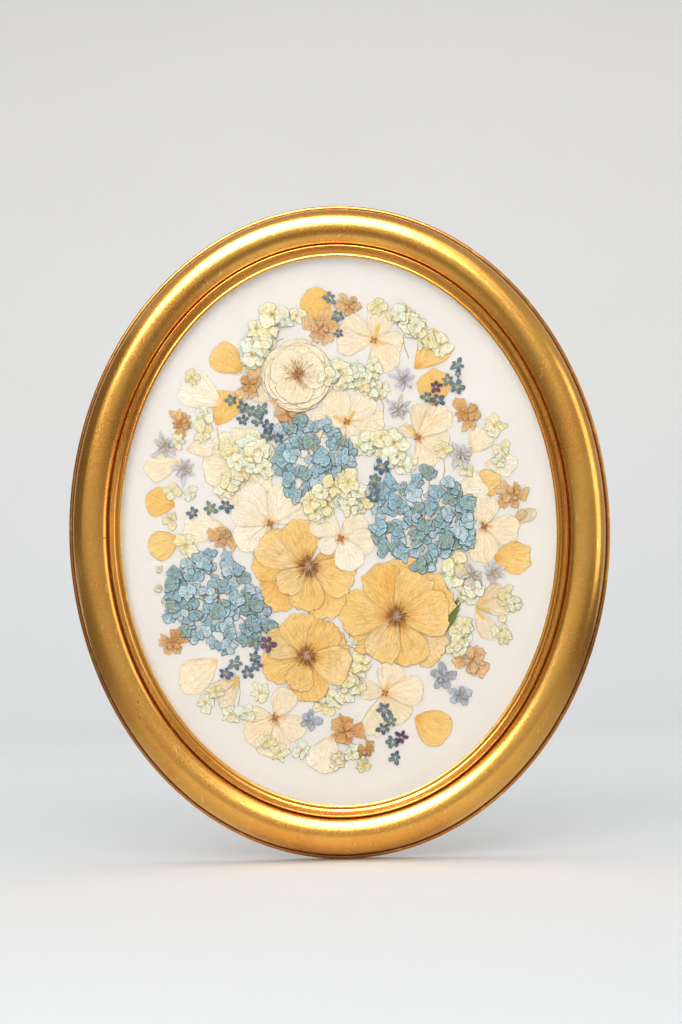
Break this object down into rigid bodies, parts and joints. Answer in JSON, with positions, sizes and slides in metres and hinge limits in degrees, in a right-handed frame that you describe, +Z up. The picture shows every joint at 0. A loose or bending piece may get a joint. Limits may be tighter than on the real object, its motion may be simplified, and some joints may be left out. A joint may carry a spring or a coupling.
{
  "type": "pressed flower frame",
  "caption": "Oval gilded frame that hangs on a wall, with roses, hydrangeas, pansies and loose petals pressed flat on a pale board under glass.",
  "frame": {"origin": "point on the wall plane where the middle tooth of the hanger hangs on its nail", "axes": "+Z up along the oval's long axis, +Y from the picture towards the wall, +X to the viewer's right"},
  "size_m": [0.492, 0.035, 0.594],
  "materials": {
    "gilded_wood": "gold leaf over red clay on turned wood, polished on its high parts",
    "clear_glass": "clear, polished",
    "mat_paper": "off-white, matte, finely fibrous",
    "hardboard": "brown hardboard, fine pitted grain",
    "spacer_board": "off-white, matte",
    "steel_points": "dull steel",
    "black_rubber": "soft, matte",
    "brass_plate": "brassed steel, slightly dulled",
    "yellow_petals": "dry petal, amber yellow with deeper veins and folds",
    "cream_petals": "dry petal, cream with brown veins and rims",
    "pale_green_petals": "dry petal, pale green with olive veins and rims",
    "blue_petals": "dry petal, grey blue with dark veins and rims"
  },
  "bodies": {
    "root": {"gilded_moulding": "gilded_wood", "glass_pane": "clear_glass", "mount_board": "mat_paper", "backing_board": "hardboard", "glass_spacer": "spacer_board", "retaining_point_1": "steel_points", "retaining_point_2": "steel_points", "retaining_point_3": "steel_points", "retaining_point_4": "steel_points", "retaining_point_5": "steel_points", "retaining_point_6": "steel_points", "wall_bumper_left": "black_rubber", "wall_bumper_right": "black_rubber", "sawtooth_hanger": "brass_plate", "yellow_petal_1": "yellow_petals", "yellow_petal_2": "yellow_petals", "yellow_petal_3": "yellow_petals", "yellow_petal_4": "yellow_petals", "yellow_petal_5": "yellow_petals", "yellow_petal_6": "yellow_petals", "yellow_petal_7": "yellow_petals", "yellow_petal_8": "yellow_petals", "yellow_petal_9": "yellow_petals", "yellow_petal_10": "yellow_petals", "yellow_rose_right": "yellow_petals", "yellow_rose_left": "yellow_petals", "yellow_rose_lower": "yellow_petals", "cream_petal_1": "cream_petals", "cream_petal_2": "cream_petals", "cream_petal_3": "cream_petals", "cream_petal_4": "cream_petals", "cream_petal_5": "cream_petals", "cream_petal_6": "cream_petals", "cream_petal_7": "cream_petals", "cream_petal_8": "cream_petals", "cream_petal_9": "cream_petals", "white_heart_petal": "cream_petals", "cream_open_flower": "cream_petals", "cream_trumpet_right": "cream_petals", "cream_trumpet_left": "cream_petals", "cream_rose": "cream_petals", "cream_pansy_left": "cream_petals", "cream_pansy_top": "cream_petals", "cream_pansy_upper": "cream_petals", "cream_pansy_right": "cream_petals", "cream_pansy_lower_right": "cream_petals", "cream_pansy_far_right": "cream_petals", "cream_pansy_bottom": "cream_petals", "cream_pansy_middle": "cream_petals", "pale_hydrangea_on_cream": "pale_green_petals", "pale_hydrangea_upper_left": "pale_green_petals", "pale_hydrangea_upper_middle": "pale_green_petals", "pale_hydrangea_upper_right": "pale_green_petals", "pale_hydrangea_centre": "pale_green_petals", "pale_hydrangea_lower_middle": "pale_green_petals", "pale_hydrangea_lower_right": "pale_green_petals", "green_hydrangea_centre": "pale_green_petals", "blue_hydrangea_top": "blue_petals", "blue_hydrangea_left": "blue_petals", "blue_hydrangea_right": "blue_petals"}
  },
  "joints": []
}
